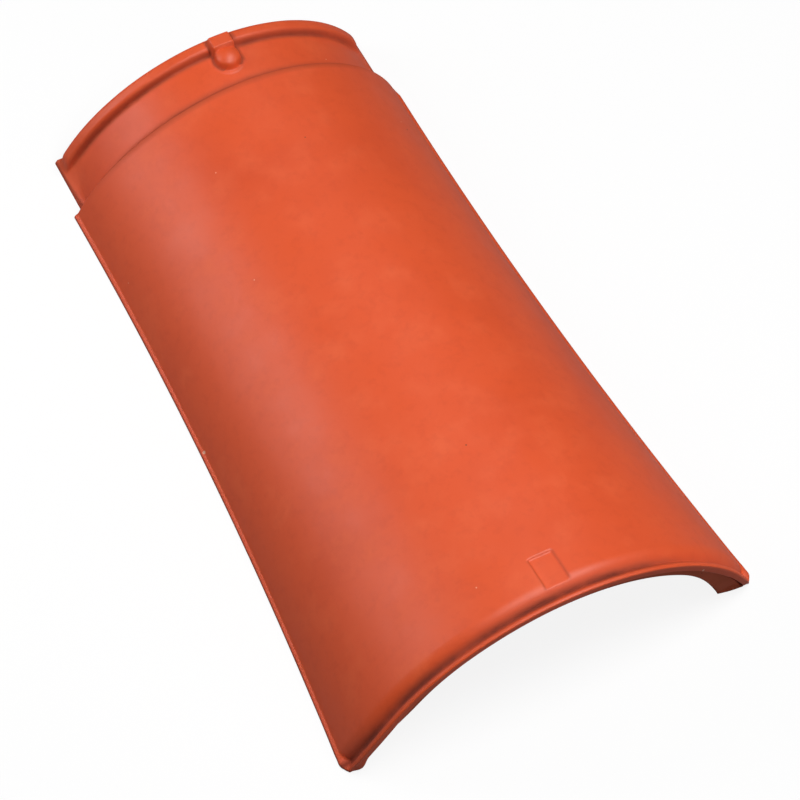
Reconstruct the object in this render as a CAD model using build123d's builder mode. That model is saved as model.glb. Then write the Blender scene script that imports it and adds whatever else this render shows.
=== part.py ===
from build123d import *
from math import sqrt
import os

os.makedirs("parts", exist_ok=True)

# A clay ridge tile: a barrel and a narrower collar, each turned about an axis under the resting edges.
# Y runs from the beaded mouth (-Y) to the head (+Y), Z is up, millimetres throughout.

# barrel
overall_length = 444.6      # mouth face to the toes of the resting edges at the head
toe_length = 3.4            # toes beyond the head face
head_length = 37.5          # collar and rim, which the next tile's mouth covers
axis_drop = 42.5            # the barrel's axis below the resting edges
mouth_radius = 142.5        # outside of the barrel, run on to the mouth face
head_radius = 117.5         # outside of the barrel where it meets the collar
wall = 12.5

# beaded mouth
bead_drop = 2.2             # top of the bead below the barrel's own line
bead_width = 4.5
bead_round = 2.7            # nose of the bead
bead_back_round = 1.4
valley_depth = 3.0          # hollow behind the bead, below its top
valley_fall = 4.2           # slope from the bead to the hollow
valley_rise = 4.3           # slope from the hollow to the barrel
valley_round = 3.5
lip_depth = 8.0             # face of the lip, from the top of the bead inward
lip_ease = 0.8              # small slope on the inner edge of the lip
groove_width = 1.8          # narrow groove between the lip and the inner rib
groove_depth = 5.0          # groove, back from the mouth face
rib_setback = 3.4           # inner rib, back from the mouth face
rib_height = 8.4            # inner rib, from the groove inward
rib_length = 11.5
rib_ease = 1.0              # small slope on the front edge of the rib
rib_run_out = 6.0           # slope from the back of the rib to the barrel's inside

# collar and rim at the head
collar_drop = 39.0          # the collar's axis below the resting edges
collar_depth = 5.0          # crown of the collar below the end of the barrel
collar_root = 3.0           # buried start of the collar, thinner than the collar by this much
step_run = 2.0              # slope from the barrel down to the collar, along the crown
step_bury = 4.0             # that slope goes on this much deeper, inside the collar
step_round = 2.0
rim_height = 4.5            # rim above the collar
rim_width = 7.5
rim_run = 1.2               # slope from the collar up to the rim
rim_round = 2.6
collar_wall = 11.0
collar_ease = 1.4           # small slope on the inner edge of the head face
inside_taper = 20.0         # inside draws in from the barrel to the collar over this length

# ledge along the resting edges
ledge_width = 1.5
ledge_height = 3.0
ledge_root = 11.5           # ledge reaches this far into the wall
ledge_setback = 0.6         # end of the ledge, back from the mouth face
corner_round = 7.5          # plan rounding of the ledge at the mouth
collar_ledge_width = 3.2    # ledge beside the collar
collar_ledge_taper = 0.6    # that ledge draws in by this much toward the toes
rim_trim = 0.5              # feet of the rim are cut back this far inside the ledge

# nib on the rim, a block with a round boss in front of it
nib_offset = 3.2            # to one side of the crown
nib_width = 14.0
nib_length = 9.5
nib_height = 4.2            # above the rim
nib_setback = 2.0           # back from the head face
nib_corner = 1.8            # upright edges
nib_round = 1.6             # edges of its top
boss_diameter = 16.0
boss_height = 1.4           # above the rim
boss_back = 16.5            # boss centre, back from the head face
boss_round = 3.0

# shallow mark pressed into the crown, open to the hollow behind the bead
mark_width = 15.5
mark_end = 32.5             # far edge, back from the mouth face
mark_depth = 0.8

# places along the barrel
mouth_y = -overall_length / 2
toe_y = overall_length / 2
head_y = toe_y - toe_length
step_y = head_y - head_length
flare = mouth_radius - head_radius
flare_length = step_y - mouth_y
bead_y = mouth_y + bead_width
valley_y = bead_y + valley_fall
barrel_y = valley_y + valley_rise
middle_y = (barrel_y + step_y) / 2
groove_y = mouth_y + groove_depth
rib_y = mouth_y + rib_setback
rib_end_y = rib_y + rib_length
inner_y = rib_end_y + rib_run_out
taper_y = step_y - inside_taper
inner_middle_y = (inner_y + step_y) / 2
step_end_y = step_y + step_run * (1 + step_bury / collar_depth)
rim_y = head_y - rim_width
rim_foot_y = rim_y - rim_run
boss_y = head_y - boss_back
nib_y = head_y - nib_setback
mark_y = mouth_y + mark_end
ledge_mouth_y = mouth_y + ledge_setback

# radii and heights
bead_radius = mouth_radius - bead_drop
valley_radius = bead_radius - valley_depth
lip_radius = bead_radius - lip_depth
rib_top = lip_radius - groove_width
rib_radius = rib_top - rib_height
step_radius = head_radius - collar_depth
step_end_radius = step_radius - step_bury
collar_radius = step_radius - axis_drop + collar_drop
collar_inside = collar_radius - collar_wall
rim_radius = collar_radius + rim_height
rim_crown_z = rim_radius - collar_drop
nib_root_z = (collar_radius + collar_inside) / 2 - collar_drop
mark_slope = 2 * flare * (step_y - mark_y) / flare_length ** 2


# outside of the barrel, level at the head and opening toward the mouth
def on_barrel(y, inset=0.0):
    run = (step_y - y) / flare_length
    return (y, head_radius + flare * run * run - inset)


# place on the floor under a radius, with the width added outside it
def foot(radius, drop, y, width=0.0):
    return (sqrt(radius * radius - drop * drop) + width, y)


def beside_barrel(y, width):
    return foot(on_barrel(y)[1], axis_drop, y, width)


# local x runs along the tile and local y is the radius, drawn on the side that is cut away
def section_plane(drop):
    return Plane(origin=(0, 0, -drop), x_dir=(0, 1, 0), z_dir=(-1, 0, 0))


def turning_axis(drop):
    return Axis((0, 0, -drop), (0, 1, 0))


collar_edge = foot(collar_radius, collar_drop, step_y, collar_ledge_width)
toe_edge = foot(collar_radius, collar_drop, toe_y, collar_ledge_width - collar_ledge_taper)

# ledge along both resting edges, drawn in plan on one side and mirrored to the other
with BuildPart() as ledge:
    with BuildSketch(Plane.XY) as plan:
        with BuildLine():
            ThreePointArc(
                beside_barrel(ledge_mouth_y, ledge_width),
                beside_barrel(middle_y, ledge_width),
                beside_barrel(step_y, ledge_width),
            )
            Polyline(
                beside_barrel(step_y, ledge_width),
                collar_edge,
                toe_edge,
                foot(collar_inside, collar_drop, toe_y),
                foot(collar_inside, collar_drop, step_y),
                beside_barrel(step_y, -ledge_root),
            )
            ThreePointArc(
                beside_barrel(step_y, -ledge_root),
                beside_barrel(middle_y, -ledge_root),
                beside_barrel(ledge_mouth_y, -ledge_root),
            )
            Line(beside_barrel(ledge_mouth_y, -ledge_root), beside_barrel(ledge_mouth_y, ledge_width))
        make_face()
        fillet(plan.vertices().sort_by_distance(beside_barrel(ledge_mouth_y, ledge_width))[0], corner_round)
        mirror(about=Plane.YZ)
    extrude(amount=ledge_height)

# nib on the crown of the rim
with BuildPart() as nib:
    with BuildSketch(Plane.XY.offset(nib_root_z)):
        with Locations((nib_offset, nib_y - nib_length / 2)):
            Rectangle(nib_width, nib_length)
    extrude(amount=rim_crown_z + nib_height - nib_root_z)
    fillet(nib.edges().filter_by(Axis.Z), nib_corner)
    fillet(nib.faces().sort_by(Axis.Z)[-1].edges(), nib_round)

# round boss in front of the nib
with BuildPart() as boss:
    with BuildSketch(Plane.XY.offset(nib_root_z)):
        with Locations((nib_offset, boss_y)):
            Circle(boss_diameter / 2)
    extrude(amount=rim_crown_z + boss_height - nib_root_z)
    fillet(boss.faces().sort_by(Axis.Z)[-1].edges(), boss_round)

# collar and rim, drawn from its start inside the barrel's wall to the head face
with BuildPart() as collar:
    with BuildSketch(section_plane(collar_drop)) as collar_section:
        with BuildLine():
            Polyline(
                (taper_y, collar_radius - collar_root),
                (step_y, collar_inside),
                (head_y, collar_inside),
                (head_y, rim_radius),
                (rim_y, rim_radius),
                (rim_foot_y, collar_radius),
                (taper_y, collar_radius),
                close=True,
            )
        make_face()
        for corner in ((rim_y, rim_radius), (head_y, rim_radius)):
            fillet(collar_section.vertices().sort_by_distance(corner)[0], rim_round)
        chamfer(collar_section.vertices().sort_by_distance((head_y, collar_inside))[0], collar_ease)
    revolve(axis=turning_axis(collar_drop))

with BuildPart() as ridge_tile:
    with BuildSketch(section_plane(axis_drop)) as section:
        with BuildLine():
            Polyline(
                on_barrel(inner_y, wall),
                (rib_end_y, rib_radius),
                (rib_y, rib_radius),
                (rib_y, rib_top),
                (groove_y, rib_top),
                (groove_y, lip_radius),
                (mouth_y, lip_radius),
                (mouth_y, bead_radius),
                (bead_y, bead_radius),
                (valley_y, valley_radius),
                on_barrel(barrel_y),
            )
            ThreePointArc(on_barrel(barrel_y), on_barrel(middle_y), on_barrel(step_y))
            # the step's slope runs on into the collar
            Polyline(on_barrel(step_y), (step_end_y, step_end_radius), on_barrel(step_y, wall))
            ThreePointArc(on_barrel(step_y, wall), on_barrel(inner_middle_y, wall), on_barrel(inner_y, wall))
        make_face()
        # corners of the section with the radius that eases each
        rounding = [
            ((mouth_y, bead_radius), bead_round),
            ((bead_y, bead_radius), bead_back_round),
            ((valley_y, valley_radius), valley_round),
            (on_barrel(barrel_y), valley_round),
            (on_barrel(step_y), step_round),
        ]
        for corner, radius in rounding:
            fillet(section.vertices().sort_by_distance(corner)[0], radius)
        # inner edges with the small slope that eases each
        for corner, length in (((mouth_y, lip_radius), lip_ease), ((rib_y, rib_radius), rib_ease)):
            chamfer(section.vertices().sort_by_distance(corner)[0], length)
    revolve(axis=turning_axis(axis_drop))
    add(collar.part)
    split(bisect_by=Plane.XY, keep=Keep.TOP)
    # feet of the rim, cut back to stand inside the ledge
    with BuildSketch(Plane.XY):
        with BuildLine():
            Polyline(
                (collar_edge[0] - rim_trim, rim_foot_y),
                (toe_edge[0] - rim_trim, toe_y),
                (toe_edge[0] + rim_radius, toe_y),
                (toe_edge[0] + rim_radius, rim_foot_y),
                close=True,
            )
        make_face()
        mirror(about=Plane.YZ)
    extrude(amount=rim_radius, mode=Mode.SUBTRACT)
    add(ledge.part)
    add(nib.part)
    add(boss.part)
    # pressed mark, its floor parallel to the barrel at the crown
    mark_plane = Plane(
        origin=(0, mark_y, on_barrel(mark_y, mark_depth)[1] - axis_drop),
        x_dir=(1, 0, 0),
        z_dir=(0, mark_slope, 1),
    )
    with BuildSketch(mark_plane):
        with Locations((0, (valley_y - mark_y) / 2)):
            Rectangle(mark_width, mark_y - valley_y)
    extrude(amount=bead_round, mode=Mode.SUBTRACT)

ridge_tile.part.label = "ridge_tile"
export_step(ridge_tile.part, "parts/ridge_tile.step")
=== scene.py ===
import math

import bpy
from mathutils import Matrix, Vector, noise


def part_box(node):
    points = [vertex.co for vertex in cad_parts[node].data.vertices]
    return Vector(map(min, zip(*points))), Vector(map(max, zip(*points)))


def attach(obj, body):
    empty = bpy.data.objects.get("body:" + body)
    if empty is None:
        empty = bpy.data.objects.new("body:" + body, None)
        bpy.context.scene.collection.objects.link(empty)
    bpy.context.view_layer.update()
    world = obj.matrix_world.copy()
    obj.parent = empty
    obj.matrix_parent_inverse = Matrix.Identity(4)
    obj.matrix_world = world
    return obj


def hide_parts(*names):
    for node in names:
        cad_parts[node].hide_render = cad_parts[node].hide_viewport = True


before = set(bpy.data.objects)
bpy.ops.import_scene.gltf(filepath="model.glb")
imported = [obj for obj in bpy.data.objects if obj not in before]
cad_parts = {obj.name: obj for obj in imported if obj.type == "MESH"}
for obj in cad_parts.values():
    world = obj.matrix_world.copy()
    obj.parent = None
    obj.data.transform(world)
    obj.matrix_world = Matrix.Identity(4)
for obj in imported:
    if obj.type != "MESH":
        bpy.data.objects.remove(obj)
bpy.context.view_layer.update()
print("frame loaded,", len(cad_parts), "node")

mm = 0.001


def ramp(value, start, end):  # eases from 0 at start to 1 at end
    t = min(max((value - start) / (end - start), 0.0), 1.0)
    return t * t * (3.0 - 2.0 * t)


def mix(a, b, share):
    return a + (b - a) * share


def bump(value, centre, width):  # 1 at the centre, falling away over the width
    return math.exp(-((value - centre) / width) ** 2)


def softMin(a, b, blend):  # the lesser of the two, rounded off where they meet
    h = max(blend - abs(a - b), 0.0) / blend
    return min(a, b) - h * h * blend / 4


# section of the tile along its crown, in millimetres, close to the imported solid's
tile = {
    "headLength": 37.5,
    "toeLength": 3.4,
    "axisDrop": 42.5,  # the barrel's axis below the floor
    "collarDrop": 39.0,
    "mouthRadius": 142.5,
    "headRadius": 117.5,
    "wall": 12.5,
    "beadDrop": 2.2,  # top of the bead below the barrel's own line
    "beadWidth": 2.2,
    "valleyDepth": 3.3,  # hollow behind the bead
    "valleyFall": 3.0,
    "valleyRise": 6.6,
    "lipDepth": 5.8,
    "grooveWidth": 1.8,
    "grooveDepth": 5.0,
    "ribSetback": 3.4,
    "ribHeight": 7.0,
    "ribLength": 11.5,
    "ribRunOut": 6.0,
    "collarDepth": 5.0,
    "stepRun": 2.0,
    "rimHeight": 4.5,
    "rimWidth": 7.5,
    "rimRun": 2.0,
    "collarWall": 11.0,
    "insideTaper": 20.0,
    # roundings of the section's corners
    "beadNose": 1.2,
    "beadBack": 1.2,
    "valleyRound": 2.2,
    "barrelRound": 13.0,  # where the hollow runs out into the barrel
    "stepEdge": 1.2,
    "stepRound": 1.0,
    "rimFoot": 1.6,
    "rimRound": 3.2,
    "headEdge": 1.6,
    "collarRound": 9.0,  # inside, from the collar to the taper and on to the barrel
    "taperRound": 12.0,
    "runOutRound": 6.0,
    "ribBack": 2.3,
    "ribEdge": 1.2,
    "ribRoot": 0.5,
    "grooveRound": 0.4,
    "lipEdge": 0.9,
}
tileLow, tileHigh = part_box("ridge_tile")
mouthY = tileLow.y / mm
toeY = tileHigh.y / mm
headY = toeY - tile["toeLength"]
stepY = headY - tile["headLength"]
rimFootY = headY - tile["rimWidth"] - tile["rimRun"]
flare = tile["mouthRadius"] - tile["headRadius"]
beadRadius = tile["mouthRadius"] - tile["beadDrop"]
lipRadius = beadRadius - tile["lipDepth"]
ribTop = lipRadius - tile["grooveWidth"]
collarRadius = tile["headRadius"] - tile["collarDepth"]
rimRadius = collarRadius + tile["rimHeight"]

# how fine the mesh is, in millimetres, with True for the outside and False for the inside
fineness = {
    "mouthRun": 45.0,  # rows are closer within this of the mouth
    "headRun": 6.0,  # and from this far before the step
    "busy": {True: 0.6, False: 1.5},
    "plain": {True: 4.0, False: 6.0},
    "slack": 0.01,
    "curveParts": 20,  # corners along the barrel's curve
    "bendStep": 0.5,  # rows on a rounding
    "bendLeast": 3,
    "bendMost": 0.48,  # share of a run that a rounding may take
    "footSteps": (
        0.0, 0.3, 0.7, 1.2, 1.7, 2.2, 2.7, 3.2, 3.8, 4.5,
        5.3, 6.2, 7.2, 8.4, 9.8, 11.4, 13.2, 15.2, 17.5, 20.0,
    ),  # columns up from the floor
    "crownShare": 0.1,  # share of the arc with close columns, for the nib and the mark
    "crownStep": 0.0045,
    "flankStep": 0.022,
    "sharpAngle": 60.0,  # degrees
}


def barrelRadius(y):  # level at the head and opening toward the mouth
    return tile["headRadius"] + flare * ((stepY - y) / (stepY - mouthY)) ** 2


def dropAt(y, outside):  # the axis rises a little from the barrel to the narrower collar
    start = stepY if outside else stepY - tile["insideTaper"]
    end = stepY + tile["stepRun"] if outside else stepY
    return mix(tile["axisDrop"], tile["collarDrop"], ramp(y, start, end))


def sectionCorners():
    beadY = mouthY + tile["beadWidth"]
    valleyY = beadY + tile["valleyFall"]
    barrelY = valleyY + tile["valleyRise"]
    valleyRadius = beadRadius - tile["valleyDepth"]
    ribRadius = ribTop - tile["ribHeight"]
    ribY = mouthY + tile["ribSetback"]
    ribEndY = ribY + tile["ribLength"]
    innerY = ribEndY + tile["ribRunOut"]
    grooveY = mouthY + tile["grooveDepth"]
    taperY = stepY - tile["insideTaper"]
    rimY = headY - tile["rimWidth"]
    insideCollar = collarRadius - tile["collarWall"]
    parts = fineness["curveParts"]
    curve = [mix(barrelY, stepY, i / parts) for i in range(1, parts)]
    innerCurve = [mix(taperY, innerY, i / parts) for i in range(1, parts)]
    # y, radius and rounding, from the bead along the outside to the head, then back along the inside
    outside = [
        (mouthY, beadRadius, tile["beadNose"]),
        (beadY, beadRadius, tile["beadBack"]),
        (valleyY, valleyRadius, tile["valleyRound"]),
        (barrelY, barrelRadius(barrelY), tile["barrelRound"]),
        *[(y, barrelRadius(y), 0.0) for y in curve],
        (stepY, tile["headRadius"], tile["stepEdge"]),
        (stepY + tile["stepRun"], collarRadius, tile["stepRound"]),
        (rimFootY, collarRadius, tile["rimFoot"]),
        (rimY, rimRadius, tile["rimRound"]),
        (headY, rimRadius, tile["rimRound"]),
    ]
    inside = [
        (headY, insideCollar, tile["headEdge"]),
        (stepY, insideCollar, tile["collarRound"]),
        (taperY, barrelRadius(taperY) - tile["wall"], tile["taperRound"]),
        *[(y, barrelRadius(y) - tile["wall"], 0.0) for y in innerCurve],
        (innerY, barrelRadius(innerY) - tile["wall"], tile["runOutRound"]),
        (ribEndY, ribRadius, tile["ribBack"]),
        (ribY, ribRadius, tile["ribEdge"]),
        (ribY, ribTop, tile["ribRoot"]),
        (grooveY, ribTop, tile["grooveRound"]),
        (grooveY, lipRadius, tile["grooveRound"]),
        (mouthY, lipRadius, tile["lipEdge"]),
    ]
    return [(*c, True) for c in outside] + [(*c, False) for c in inside]


def rowSpacing(y, outside):  # closer rows where the section is busy
    busy = y < mouthY + fineness["mouthRun"] or y > stepY - fineness["headRun"]
    return fineness["busy" if busy else "plain"][outside]


def sectionRows():
    corners = sectionCorners()
    stations = []
    for i, (y, r, rounding, outside) in enumerate(corners):
        here = Vector((y, r))
        back = Vector(corners[i - 1][:2]) - here
        ahead = Vector(corners[(i + 1) % len(corners)][:2]) - here
        if rounding == 0.0:
            stations.append((here, outside))
            continue
        turn = math.pi - back.angle(ahead)
        most = fineness["bendMost"]
        cut = min(rounding * math.tan(turn / 2), most * back.length, most * ahead.length)
        start = here + back.normalized() * cut
        end = here + ahead.normalized() * cut
        bends = max(fineness["bendLeast"], math.ceil(2 * cut / fineness["bendStep"]))
        for k in range(bends + 1):  # a curve pulled toward the corner
            t = k / bends
            stations.append((start.lerp(here, t).lerp(here.lerp(end, t), t), outside))
    rows = []
    for i, (here, outside) in enumerate(stations):
        there = stations[(i + 1) % len(stations)][0]
        spacing = rowSpacing((here.x + there.x) / 2, outside)
        pieces = max(1, math.ceil((there - here).length / spacing - fineness["slack"]))
        rows += [(*here.lerp(there, k / pieces), outside) for k in range(pieces)]
    return rows


def columnShares():  # places round the arc, from 0 at the crown to 1 where the foot's own columns start
    shares = [0.0]
    while shares[-1] < fineness["crownShare"]:
        shares.append(shares[-1] + fineness["crownStep"])
    rest = math.ceil((1.0 - shares[-1]) / fineness["flankStep"])
    return shares + [mix(shares[-1], 1.0, (k + 1) / rest) for k in range(rest - 1)]


# thin border along the resting edges, in millimetres, here and below with -1 for the left and 1 for the right
border = {
    "width": 1.5,
    "height": 1.9,  # foot of its shoulder above the floor
    "shoulder": 1.5,  # height and shape of the shoulder, which draws in to the flank
    "shoulderSlope": 1.5,
    "shoulderCurve": 1.5,
    "blend": 1.6,  # softness where it meets the flank
    "mouthBlend": 3.0,  # fuller web where it turns into the bead
    "mouthFade": (8.0, 40.0),  # the web runs out between these distances from the mouth
    "mouthSetback": 0.6,
    "mouthCorner": 7.5,  # rounding in plan at the mouth
    "stepCorner": {-1: 0.6, 1: 9.0},  # left corner sharp, right one worn round
    "collarWidth": 3.2,
    "collarTaper": 0.6,
    "collarSweep": (7.0, 18.0),  # the collar's flank sweeps out below these heights, at the step and the rim
    "sweepShift": 4.0,  # both are reached this far behind the step and the rim's foot
    "toeCorner": 0.7,
    "toeFade": (2.2, 5.2),  # the toes run out between these heights
    "rimFade": {-1: (2.5, 15.0), 1: (2.0, 20.0)},  # the rim dies away between these heights
    "rimLead": 1.0,  # the rim's rounding starts this far before its foot
    "underEdge": 0.4,  # drawn in under the border, up to this height
    "underHeight": 0.8,
    "topmost": 70.0,  # the flank is plain above this
}


def planRound(end, radius):  # how far a rounded corner draws the edge in, this far from the end
    inset = min(max(end, 0.0), radius)
    return radius - math.sqrt(radius ** 2 - (radius - inset) ** 2)


def borderReach(y, up, side, hollow):  # outward shift of the flank, this far up from its foot
    along = y - mouthY
    web = mix(border["mouthBlend"], border["blend"], ramp(along, *border["mouthFade"]))
    inset = planRound(along - border["mouthSetback"], border["mouthCorner"])
    inset += planRound(stepY - y, border["stepCorner"][side])
    shoulder = max(up - border["height"], 0.0) / border["shoulder"]
    drawn = border["width"] * border["shoulderSlope"] * shoulder ** border["shoulderCurve"]
    reach = hollow - softMin(hollow, inset - border["width"] + drawn, web)
    if y > stepY:
        edge = border["collarWidth"] - border["collarTaper"] * (y - stepY) / (toeY - stepY)
        shift = border["sweepShift"]
        height = mix(*border["collarSweep"], ramp(y, stepY + shift, rimFootY + shift))
        sweep = max(1.0 - up / height, 0.0) ** 2 * edge
        reach = mix(reach, sweep, ramp(y, stepY, stepY + tile["stepRun"]))
        reach -= planRound(toeY - y - tile["toeLength"], border["toeCorner"])
    return reach


def toeReach(z):  # how far the foot stands out past the head's face
    return tile["toeLength"] * (1.0 - ramp(z, *border["toeFade"]))


# the nib on the rim with its round boss, and the mark pressed into the crown, in millimetres
nib = {
    "offset": 3.2,
    "width": 15.5,
    "height": 4.0,
    "length": 10.5,
    "setback": 1.2,
    "frontSlope": (2.4, 1.6),  # before and behind its front line
    "edge": 1.7,
    "bossDiameter": 16.5,
    "bossHeight": 2.9,
    "bossBack": 16.2,
    "bossFall": 3.4,  # from the middle of its dome to the edge
    "bossEdge": (0.84, 1.1),  # it drops to the collar between these shares of its radius
    "bossReach": 1.3,  # and blends with the block up to this one
    "bossBlend": 1.5,
    "arcShare": 0.2,  # nib and mark lie within this share of the arc
}
mark = {"width": 15.5, "end": 32.5, "depth": 1.0, "edge": 0.8}
nibBackY = headY - nib["setback"]
nibFrontY = nibBackY - nib["length"]
bossY = headY - nib["bossBack"]
markY = mouthY + mark["end"]


def slab(x, halfWidth, edge):  # 1 inside the half width, easing to 0 across the edge
    return 1.0 - ramp(abs(x), halfWidth - edge, halfWidth + edge / 2)


def crownRelief(y, across, radius):
    beside = across - nib["offset"]
    block = slab(beside, nib["width"] / 2, nib["edge"]) * (1.0 - ramp(y, nibBackY - nib["edge"], nibBackY))
    block *= ramp(y, nibFrontY - nib["frontSlope"][0], nibFrontY + nib["frontSlope"][1])
    rise = block * (rimRadius + nib["height"] - radius)
    away = math.hypot(beside, y - bossY) / (nib["bossDiameter"] / 2)
    if away < nib["bossReach"]:
        dome = rimRadius + nib["bossHeight"] - nib["bossFall"] * away ** 2
        boss = (1.0 - ramp(away, *nib["bossEdge"])) * (dome - radius)
        rise = -softMin(-rise, -boss, nib["bossBlend"])
    if y < markY + mark["edge"]:
        pressed = slab(across, mark["width"] / 2, mark["edge"])
        pressed *= 1.0 - ramp(y, markY - mark["edge"], markY + mark["edge"])
        rise -= pressed * max(0.0, radius - barrelRadius(y) + mark["depth"])
    return rise


# slow waves left by pressing and firing, in millimetres
unevenness = {
    "broadSize": 90.0,
    "broadDepth": 0.35,
    "fineSize": 22.0,
    "fineDepth": 0.06,
    "floorFade": 4.0,  # full from this height, so that the foot stays flat
}


def waviness(x, y, z):
    broad = noise.noise(Vector((x, y, z)) / unevenness["broadSize"]) * unevenness["broadDepth"]
    fine = noise.noise(Vector((x, y, z)) / unevenness["fineSize"]) * unevenness["fineDepth"]
    return (broad + fine) * ramp(z, 0.0, unevenness["floorFade"])


# foot of the mouth, where lip, groove and rib run together into one nose, in millimetres
foot = {
    "noseX": {-1: 134.0, 1: 127.0},
    "noseFront": 0.4,
    "ribBack": {-1: -1.7, 1: 1.8},  # inner side of the nose, forward on the left and back on the right
    "ribReach": {-1: 8.0, 1: 12.0},
    "ribCurve": 1.6,
    "closed": {-1: 3.5, 1: 0.8},  # one nose up to this height, lip, groove and rib apart from the next
    "open": {-1: 14.0, 1: 6.0},
    "closedShare": 0.96,
    "closedRun": 0.6,  # as far as this behind the groove
    "noseBack": {-1: 1.2, 1: 4.0},  # nose drawn back, more on the right
    "noseHeight": {-1: 9.0, 1: 22.0},  # below this height
    "noseLength": 22.0,
    "sweep": 1.6,  # flanks of the mouth stand forward of its crown by this much
    "sweepX": 95.0,  # at this half width
    "sweepMost": 1.15,
    "sweepLength": 60.0,
    "bow": {-1: 1.8, 1: 0.0},  # left flank of the mouth bowed forward by this much
    "bowHeight": 28.0,
    "bowSpread": 22.0,
    "cornerRound": {-1: 8.5, 1: 11.0},  # outer corner in plan, rounder on the right
    "cornerFade": (4.0, 12.0),  # square again between these heights
}


def mouthFoot(x, y, z, side):  # front of the nose, in place of lip, groove and rib
    inward = max(foot["noseX"][side] - abs(x), 0.0) / foot["ribReach"][side]
    front = mouthY + foot["noseFront"] + foot["ribBack"][side] * inward ** foot["ribCurve"]
    return mix(y, front, foot["closedShare"] * (1.0 - ramp(z, foot["closed"][side], foot["open"][side])))


def mouthShift(x, y, z, side):  # sweep of the mouth's plane, and its drawn-back foot
    fade = 1.0 - ramp(y - mouthY, 0.0, foot["sweepLength"])
    lift = max(1.0 - z / foot["noseHeight"][side], 0.0)
    back = foot["noseBack"][side] * lift ** 2 * (1.0 - ramp(y - mouthY, 0.0, foot["noseLength"]))
    bow = foot["bow"][side] * bump(z, foot["bowHeight"], foot["bowSpread"])
    return back - (bow + foot["sweep"] * min(abs(x) / foot["sweepX"], foot["sweepMost"]) ** 2) * fade


def roundedCorner(x, y, z, side):  # the mouth's outer corner, drawn in to a rounding in plan
    radius = foot["cornerRound"][side]
    middleX = math.sqrt(tile["mouthRadius"] ** 2 - tile["axisDrop"] ** 2) + border["width"] - radius
    middleY = mouthY - foot["sweep"] * foot["sweepMost"] ** 2 + radius
    out, front = x - middleX, middleY - y
    if out <= 0.0 or front <= 0.0 or math.hypot(out, front) <= radius:
        return x, y
    keep = mix(radius / math.hypot(out, front), 1.0, ramp(z, *foot["cornerFade"]))
    return middleX + out * keep, middleY - front * keep


# foot of the inner rib, in millimetres
rib = {
    "lean": {-1: 6.0, 1: -4.6},  # drawn in on the left and fuller on the right
    "fade": (2.0, 62.0),  # between these heights
    "lipLean": 1.8,  # lip thinner at the right foot by this much
    "faceRun": 1.5,  # lip, groove and face of the rib end this far behind the rib's front
    "grooveSlack": 0.5,
    "wholeAt": 3.0,  # the right lean is whole where the rib stands this far off the wall
    "length": 25.0,  # from the mouth to the end of the rib's slope
    "runOut": (5.0, 70.0),  # the left rib dies into the wall between these distances from the mouth
}


def ribReach(y, side, radius):  # outward shift of the inside near the mouth
    wallLine = barrelRadius(y) - tile["wall"]
    lean = rib["lean"][side]
    if lean > 0.0:
        if radius > lipRadius - tile["grooveWidth"] / 2:
            return 0.0
        return max(wallLine + lean * (1.0 - ramp(y - mouthY, *rib["runOut"])) - radius, 0.0)
    if y < mouthY + tile["ribSetback"] + rib["faceRun"]:
        below = (ribTop - radius) / tile["ribHeight"]
        return mix(rib["lipLean"], lean, min(max(below, 0.0), 1.0))
    if radius > ribTop - rib["grooveSlack"] and y < mouthY + tile["grooveDepth"] + rib["grooveSlack"]:
        return rib["lipLean"]
    if y < mouthY + rib["length"]:
        return lean * min(max(wallLine - radius, 0.0) / rib["wholeAt"], 1.0)
    return 0.0


# painted shade in the creases, round the nib and the mark and along the floor, and the end of the slip:
# widths, heights and runs in millimetres
paintedCreaseShade = {
    "groove": 1.6,
    "lip": 1.0,
    "lipShare": 0.2,
    "valley": 2.7,
    "valleyShare": (1.4, 0.25),  # painted shade: dark from the left foot past the crown, faint at the right foot, following the light
    "valleyFade": (20.0, 100.0),
    "rimFoot": 1.7,
    "rimFade": (4.0, 30.0),
    "step": 3.0,
    "stepBack": 1.5,
    "stepFade": (15.0, 60.0),
    "nibRun": 14.0,  # the painted shade round the nib lies within these of the rim's foot and the crown
    "nibSide": 20.0,
    "nib": 0.9,
    "nibOff": 0.7,
    "nibEdge": 0.5,
    "nibFade": 1.0,
    "mark": 0.7,
    "markOff": 0.2,
    "markShare": 0.45,
    "markFade": (9.0, 13.0),
    "markLowest": 60.0,
    # painted shadow along the floor edge, up to these heights
    "floorShare": 0.9,
    "floorFade": (1.0, 2.9),
    "slipEnd": (0.3, 3.0),  # the inside is bare clay from here behind the mouth
}


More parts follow.
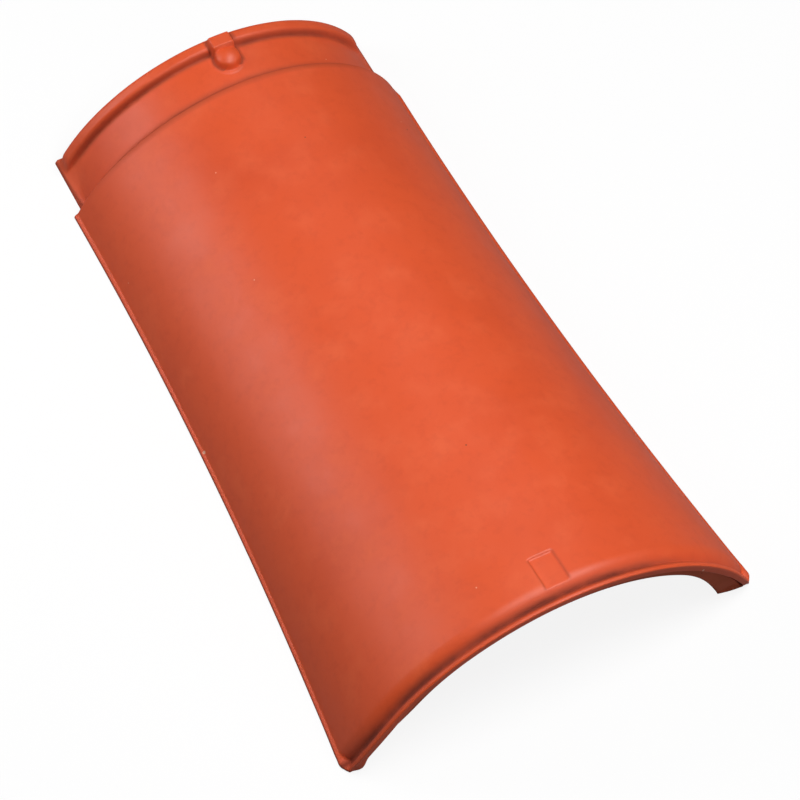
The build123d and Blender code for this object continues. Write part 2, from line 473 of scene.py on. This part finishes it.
def paintedShadeShare(x, y, z, outside, side):  # how much painted shade a place gets
    along = y - mouthY
    if not outside:
        groove = bump(along, tile["grooveDepth"], paintedCreaseShade["groove"])
        return max(groove, paintedCreaseShade["lipShare"] * bump(along, 0.0, paintedCreaseShade["lip"]))
    valley = bump(along, tile["beadWidth"] + tile["valleyFall"], paintedCreaseShade["valley"])
    valley *= mix(*paintedCreaseShade["valleyShare"], ramp(side * x, *paintedCreaseShade["valleyFade"]))
    rimFoot = bump(y, rimFootY, paintedCreaseShade["rimFoot"]) * ramp(z, *paintedCreaseShade["rimFade"])
    step = bump(y, stepY + paintedCreaseShade["stepBack"], paintedCreaseShade["step"]) * ramp(z, *paintedCreaseShade["stepFade"])
    deep = max(valley, rimFoot, step)
    if y > rimFootY - paintedCreaseShade["nibRun"] and abs(x) < paintedCreaseShade["nibSide"]:  # painted shade round the nib and its boss
        beside = abs(side * x - nib["offset"])
        boss = math.hypot(beside, y - bossY) - nib["bossDiameter"] / 2
        off = min(boss, max(beside - nib["width"] / 2, nibFrontY - y))
        beyond = 1.0 - ramp(y, nibBackY - paintedCreaseShade["nibFade"], nibBackY)
        deep *= ramp(off, -paintedCreaseShade["nibEdge"], paintedCreaseShade["nibEdge"])
        deep = max(deep, bump(off, paintedCreaseShade["nibOff"], paintedCreaseShade["nib"]) * beyond)
    if along < mark["end"] and z > paintedCreaseShade["markLowest"]:  # painted shade along the sides of the pressed mark
        line = bump(abs(x), mark["width"] / 2 + paintedCreaseShade["markOff"], paintedCreaseShade["mark"])
        deep = max(deep, paintedCreaseShade["markShare"] * line * ramp(along, *paintedCreaseShade["markFade"]))
    return max(deep, paintedCreaseShade["floorShare"] * (1.0 - ramp(z, *paintedCreaseShade["floorFade"])))


def tileLine(y, radius, outside, side, shares):  # one side of a row, from the crown down to the floor
    drop = dropAt(y, outside)
    crown = radius + drop - tile["axisDrop"]
    headShare = ramp(y, headY - tile["toeLength"], headY)
    hollow = barrelRadius(y) - radius if y < stepY else 0.0
    rim = max(radius - collarRadius, 0.0) if y > rimFootY - border["rimLead"] else 0.0

    def reach(up):
        if not outside:
            return ribReach(y, side, radius) * (1.0 - ramp(up, *rib["fade"]))
        return borderReach(y, up, side, hollow) - rim * (1.0 - ramp(up, *border["rimFade"][side]))

    footRadius = crown + reach(0.0)
    footAngle = math.acos(drop / footRadius)
    upperAngle = footAngle - fineness["footSteps"][-1] / footRadius
    points = []
    for share in shares:
        angle = share * upperAngle
        up = (footAngle - angle) * footRadius
        r = crown + (reach(up) if up < border["topmost"] else 0.0)
        if outside and share < nib["arcShare"]:
            r += crownRelief(y, side * radius * angle, radius)
        points.append((angle, r))
    for up in reversed(fineness["footSteps"]):
        points.append((footAngle - up / footRadius, crown + reach(up)))
    line = []
    for angle, r in points:
        x, z = r * math.sin(angle), max(r * math.cos(angle) - drop, 0.0)
        wave = waviness(side * x, y, z)
        x, z = x + wave * math.sin(angle), z + wave * math.cos(angle)
        x -= outside * border["underEdge"] * (1.0 - ramp(z, 0.0, border["underHeight"]))
        place = y + headShare * toeReach(z)
        if not outside and y < mouthY + tile["grooveDepth"] + foot["closedRun"]:
            place = mouthFoot(x, y, z, side)
        # painted shade in the creases and along the floor
        dark = paintedShadeShare(x, y, z, outside, side)
        bare = 0.0 if outside else ramp(y - mouthY, *paintedCreaseShade["slipEnd"])
        place += mouthShift(x, y, z, side)
        x, place = roundedCorner(x, place, z, side)
        line.append(Vector((side * x, place, z, dark, bare)))
    return line


def buildTile():
    rows = sectionRows()
    shares = columnShares()
    lines = []
    for y, radius, outside in rows:
        if outside and y > headY - fineness["slack"]:
            lines.append(None)  # the head's face, filled in between its neighbours below
            continue
        left, right = (tileLine(y, radius, outside, side, shares) for side in (-1, 1))
        lines.append(left[:0:-1] + right)
    first = lines.index(None)
    last = first + lines.count(None)
    for i in range(first, last):
        share = (i - first + 1) / (last - first + 1)
        lines[i] = [a.lerp(b, share) for a, b in zip(lines[first - 1], lines[last])]
    places = [v for line in lines for v in line]
    across = len(lines[0])
    count = len(rows)
    faces = []
    for i in range(count):
        here, there = i * across, (i + 1) % count * across
        faces += [(here + j, here + j + 1, there + j + 1, there + j) for j in range(across - 1)]
    # the two flat feet
    faces.append([i * across for i in range(count)])
    faces.append([i * across + across - 1 for i in reversed(range(count))])
    mesh = bpy.data.meshes.new("ridgeTile")
    mesh.from_pydata([Vector(v[:3]) * mm for v in places], [], faces)
    # the painted shade of the creases, and the bare clay inside
    for name, part in (("paintedCreaseShade", 3), ("bareClay", 4)):
        mesh.attributes.new(name, "FLOAT", "POINT").data.foreach_set("value", [v[part] for v in places])
    mesh.validate()
    mesh.update()
    mesh.shade_smooth()
    mesh.set_sharp_from_angle(angle=math.radians(fineness["sharpAngle"]))
    piece = bpy.data.objects.new("ridgeTile", mesh)
    bpy.context.collection.objects.link(piece)
    print("tile built,", count, "rows of", across)
    return piece


ridgeTile = buildTile()


def linear(hexText):  # sRGB hex to linear colour
    parts = [int(hexText[i:i + 2], 16) / 255 for i in (1, 3, 5)]
    return tuple(c / 12.92 if c <= 0.04045 else ((c + 0.055) / 1.055) ** 2.4 for c in parts) + (1.0,)


def addNode(tree, kind, settings={}, links={}):  # a node with its settings and what feeds it
    node = tree.nodes.new(kind)
    for name, value in settings.items():
        if isinstance(name, int) or name in node.inputs:
            node.inputs[name].default_value = value
        else:
            setattr(node, name, value)
    for name, source in links.items():
        tree.links.new(source, node.inputs[name])
    return node


def newMaterial(name):
    material = bpy.data.materials.new(name)
    material.use_nodes = True
    material.node_tree.nodes.clear()
    return material, material.node_tree


# Clay pressed in a mould, coated with thin slip and fired: a warm orange red, soft sheen on the slip,
# cloudy from the kiln, with iron spots, pale grit, and painted shade, browner, in the creases and along the
# floor. Sizes in millimetres.
clay = {
    "slip": "#e4572b",
    "slipDark": "#cf4823",
    "slipPale": "#ee693c",
    # colour of the painted shade in the creases and along the floor
    "paintedCreaseShade": "#7a2b16",
    "bare": "#c9603c",
    "iron": "#83351f",
    "grit": "#f2a98b",
    "chip": "#f0b59a",
    # size, detail and roughness of each drifting pattern
    "patterns": {
        "cloud": (75.0, 3.0, 0.5),  # kiln clouding
        "smudge": (24.0, 4.0, 0.6),  # handling and drying
        "mottle": (7.0, 5.0, 0.65),  # brushed slip
        "wave": (14.0, 2.0, 0.5),  # press marks
        "grain": (1.6, 2.0, 0.6),  # the real grain is finer, this is the finest that the render shows
    },
    "waveDepth": 0.10,
    "grainDepth": 0.035,
    # dots in some of the cells, each fading out between two shares of its size
    "specks": {
        "ironSpots": {"spacing": 19.0, "size": 0.75, "share": 0.35},
        "gritSpots": {"spacing": 13.0, "size": 0.6, "share": 0.12},
    },
    "speckEdge": (0.5, 0.9),
    # small breaks in the slip: place and size
    "chips": (
        ((-114.3, -2.1, 3.2), 1.6),
        ((-116.2, 10.5, 4.0), 0.9),
        ((92.4, -223.4, 57.5), 1.3),
    ),
    "chipRagged": 0.9,  # how much the grain frays a chip, and where it ends, in shares of its size
    "chipEdge": 1.3,
    # colours laid over the slip in turn: the pattern that drives each, its span, the share given, and where
    "layers": (
        ("slipDark", "cloud", (0.50, 0.80), (0.0, 0.45), None),
        ("slipPale", "smudge", (0.52, 0.75), (0.0, 0.40), None),
        ("slipDark", "mottle", (0.50, 0.80), (0.0, 0.40), None),
        ("bare", "smudge", (0.30, 0.70), (0.6, 1.0), "bareClay"),
        ("iron", "mottle", (0.30, 0.50), (0.4, 0.9), "ironSpots"),
        ("grit", "mottle", (0.30, 0.50), (0.9, 1.0), "gritSpots"),
        # painted shade in the creases and along the floor
        ("paintedCreaseShade", "smudge", (0.30, 0.70), (0.5, 0.85), "paintedCreaseShade"),
        ("chip", "grain", (0.30, 0.70), (1.0, 0.9), "broken"),
    ),
    "roughness": (0.42, 0.54),  # over this span of the smudges
    "roughSpan": (0.30, 0.70),
    "bareRoughness": 0.25,  # more where there is no slip
    "creaseRoughness": 0.3,  # and in the creases, under their painted shade
    "ior": 1.5,
}


def firedClay():
    material, tree = newMaterial("pressedSlippedClay")
    place = addNode(tree, "ShaderNodeTexCoord").outputs["Object"]
    found = {}
    for name, (size, detail, coarse) in clay["patterns"].items():
        found[name] = addNode(tree, "ShaderNodeTexNoise", {
            "Scale": 1.0 / (size * mm), "Detail": detail, "Roughness": coarse}, {"Vector": place}).outputs[0]
    for name in ("paintedCreaseShade", "bareClay"):  # painted shade of the creases and the bare clay, both laid on the mesh's points
        found[name] = addNode(tree, "ShaderNodeAttribute", {"attribute_name": name}).outputs["Fac"]
    speckStart, speckEnd = clay["speckEdge"]
    for name, speck in clay["specks"].items():
        cells = addNode(tree, "ShaderNodeTexVoronoi", {
            "Scale": 1.0 / (speck["spacing"] * mm)}, {"Vector": place})
        reach = speck["size"] / speck["spacing"]
        dot = addNode(tree, "ShaderNodeMapRange", {
            "From Min": speckStart * reach, "From Max": speckEnd * reach, "To Min": 1.0, "To Max": 0.0}, {
            "Value": cells.outputs["Distance"]})
        luck = addNode(tree, "ShaderNodeSeparateColor", {}, {"Color": cells.outputs["Color"]})
        kept = addNode(tree, "ShaderNodeMath", {"operation": "GREATER_THAN", 1: 1.0 - speck["share"]}, {
            0: luck.outputs[0]})
        found[name] = addNode(tree, "ShaderNodeMath", {"operation": "MULTIPLY"}, {
            0: dot.outputs[0], 1: kept.outputs[0]}).outputs[0]
    for spot, size in clay["chips"]:
        away = addNode(tree, "ShaderNodeVectorMath", {
            "operation": "DISTANCE", 1: Vector(spot) * mm}, {0: place})
        frayed = clay["chipRagged"] * size * mm
        ragged = addNode(tree, "ShaderNodeMath", {"operation": "MULTIPLY_ADD", 1: frayed}, {
            0: found["grain"], 2: away.outputs["Value"]})
        hit = addNode(tree, "ShaderNodeMapRange", {
            "From Min": size * mm, "From Max": clay["chipEdge"] * size * mm, "To Min": 1.0, "To Max": 0.0}, {
            "Value": ragged.outputs[0]}).outputs[0]
        found["broken"] = hit if "broken" not in found else addNode(tree, "ShaderNodeMath", {
            "operation": "MAXIMUM"}, {0: found["broken"], 1: hit}).outputs[0]
    under = None
    for shade, driver, span, given, where in clay["layers"]:
        share = addNode(tree, "ShaderNodeMapRange", {
            "From Min": span[0], "From Max": span[1], "To Min": given[0], "To Max": given[1]}, {
            "Value": found[driver]}).outputs[0]
        if where:
            share = addNode(tree, "ShaderNodeMath", {"operation": "MULTIPLY", "use_clamp": True}, {
                0: share, 1: found[where]}).outputs[0]
        laid = addNode(tree, "ShaderNodeMix", {
            "data_type": "RGBA", 6: linear(clay["slip"]), 7: linear(clay[shade])}, {0: share})
        if under:
            tree.links.new(under, laid.inputs[6])
        under = laid.outputs[2]
    span, given = clay["roughSpan"], clay["roughness"]
    slipRough = addNode(tree, "ShaderNodeMapRange", {
        "From Min": span[0], "From Max": span[1], "To Min": given[0], "To Max": given[1]}, {
        "Value": found["smudge"]})
    rough = addNode(tree, "ShaderNodeMath", {"operation": "MULTIPLY_ADD", 1: clay["bareRoughness"]}, {
        0: found["bareClay"], 2: slipRough.outputs[0]})
    rough = addNode(tree, "ShaderNodeMath", {"operation": "MULTIPLY_ADD", 1: clay["creaseRoughness"]}, {
        0: found["paintedCreaseShade"], 2: rough.outputs[0]})
    waves = addNode(tree, "ShaderNodeBump", {"Strength": 1.0, "Distance": clay["waveDepth"] * mm}, {
        "Height": found["wave"]})
    relief = addNode(tree, "ShaderNodeBump", {"Strength": 1.0, "Distance": clay["grainDepth"] * mm}, {
        "Height": found["grain"], "Normal": waves.outputs[0]})
    shader = addNode(tree, "ShaderNodeBsdfPrincipled", {"IOR": clay["ior"]}, {
        "Base Color": under, "Roughness": rough.outputs[0], "Normal": relief.outputs[0]})
    addNode(tree, "ShaderNodeOutputMaterial", {}, {"Surface": shader.outputs["BSDF"]})
    print("clay mixed,", len(tree.nodes), "nodes")
    return material


ridgeTile.data.materials.append(firedClay())
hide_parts("ridge_tile")
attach(ridgeTile, "root")

# share of the white surroundings that shows in the clay's own dull sheen
sheenShare = 0.05


def seenShare(tree):  # 1 for what is seen, also through glass, and a little for what the sheen mirrors
    path = addNode(tree, "ShaderNodeLightPath")
    mirrored = addNode(tree, "ShaderNodeMath", {"operation": "MULTIPLY", 1: sheenShare}, {
        0: path.outputs["Is Glossy Ray"]})
    direct = addNode(tree, "ShaderNodeMath", {"operation": "MAXIMUM"}, {
        0: path.outputs["Is Camera Ray"], 1: path.outputs["Is Transmission Ray"]})
    return addNode(tree, "ShaderNodeMath", {"operation": "MAXIMUM"}, {
        0: direct.outputs[0], 1: mirrored.outputs[0]}).outputs[0]


# plain pale floor, white to the camera and grey to the light that bounces from it onto the flanks
floor = {"side": 8.0, "colour": "#ffffff", "glow": 0.88, "bounce": "#8a8a8a"}


def buildFloor():
    half = floor["side"] / 2
    mesh = bpy.data.meshes.new("floor")
    corners = [(-half, -half, 0), (half, -half, 0), (half, half, 0), (-half, half, 0)]
    mesh.from_pydata(corners, [], [(0, 1, 2, 3)])
    piece = bpy.data.objects.new("floor", mesh)
    bpy.context.collection.objects.link(piece)
    material, tree = newMaterial("paleFloor")
    matt = addNode(tree, "ShaderNodeBsdfDiffuse", {"Color": linear(floor["colour"])})
    glow = addNode(tree, "ShaderNodeEmission", {"Color": linear(floor["colour"]), "Strength": 1.0})
    seen = addNode(tree, "ShaderNodeMixShader", {"Fac": floor["glow"]}, {
        1: matt.outputs[0], 2: glow.outputs[0]})
    dull = addNode(tree, "ShaderNodeBsdfDiffuse", {"Color": linear(floor["bounce"])})
    both = addNode(tree, "ShaderNodeMixShader", {}, {
        "Fac": seenShare(tree), 1: dull.outputs[0], 2: seen.outputs[0]})
    addNode(tree, "ShaderNodeOutputMaterial", {}, {"Surface": both.outputs[0]})
    mesh.materials.append(material)
    print("floor laid")


buildFloor()

# soft round lamps aimed at the tile: place and width in metres, power in watts
lamps = {
    "backLeft": {"place": (-0.72, 0.56, 0.52), "width": 0.6, "power": 3.6},
    "highRight": {"place": (1.5, -0.2, 3.64), "width": 1.8, "power": 65.0},
    "overMouth": {"place": (0.1, -0.25, 1.1), "width": 0.6, "power": 5.8},
    "lowFront": {"place": (1.1, -2.4, 0.8), "width": 1.2, "power": 7.0},
}
worldLevel = 0.02


def lightUp():
    for name, lamp in lamps.items():
        data = bpy.data.lights.new(name, "AREA")
        data.shape = "DISK"
        data.size = lamp["width"]
        data.energy = lamp["power"]
        light = bpy.data.objects.new(name, data)
        light.location = lamp["place"]
        light.rotation_euler = Vector(lamp["place"]).to_track_quat("Z", "Y").to_euler()
        light.visible_camera = False
        bpy.context.collection.objects.link(light)
    world = bpy.data.worlds.new("studio")
    world.use_nodes = True
    tree = world.node_tree
    level = addNode(tree, "ShaderNodeMix", {"A": worldLevel, "B": 1.0}, {"Factor": seenShare(tree)})
    background = tree.nodes["Background"]
    background.inputs["Color"].default_value = linear("#ffffff")
    tree.links.new(level.outputs["Result"], background.inputs["Strength"])
    bpy.context.scene.world = world


lightUp()

# the photograph's view, in degrees and metres, with the lens and its sensor in millimetres
shot = {
    "azimuth": -33.57,
    "elevation": 59.77,
    "roll": 6.43,
    "distance": 2.453,
    "lens": 187.08,
    "sensor": 36.0,
    "farthest": 50.0,
    "target": (-0.0017, -0.03439, 0.02934),
}


def placeCamera():
    azimuth, elevation, roll = (math.radians(shot[k]) for k in ("azimuth", "elevation", "roll"))
    back = Vector((
        math.sin(azimuth) * math.cos(elevation),
        -math.cos(azimuth) * math.cos(elevation),
        math.sin(elevation),
    ))
    right = Vector((math.cos(azimuth), math.sin(azimuth), 0.0))
    up = back.cross(right)
    turn = Matrix((right, up, back)).transposed() @ Matrix.Rotation(roll, 3, "Z")
    data = bpy.data.cameras.new("photoView")
    data.lens = shot["lens"]
    data.sensor_width = shot["sensor"]
    data.clip_end = shot["farthest"]
    camera = bpy.data.objects.new("photoView", data)
    camera.matrix_world = Matrix.Translation(Vector(shot["target"]) + back * shot["distance"]) @ turn.to_4x4()
    bpy.context.collection.objects.link(camera)
    bpy.context.scene.camera = camera


placeCamera()
bpy.context.scene.view_settings.view_transform = "Standard"
print("camera and lamps placed")
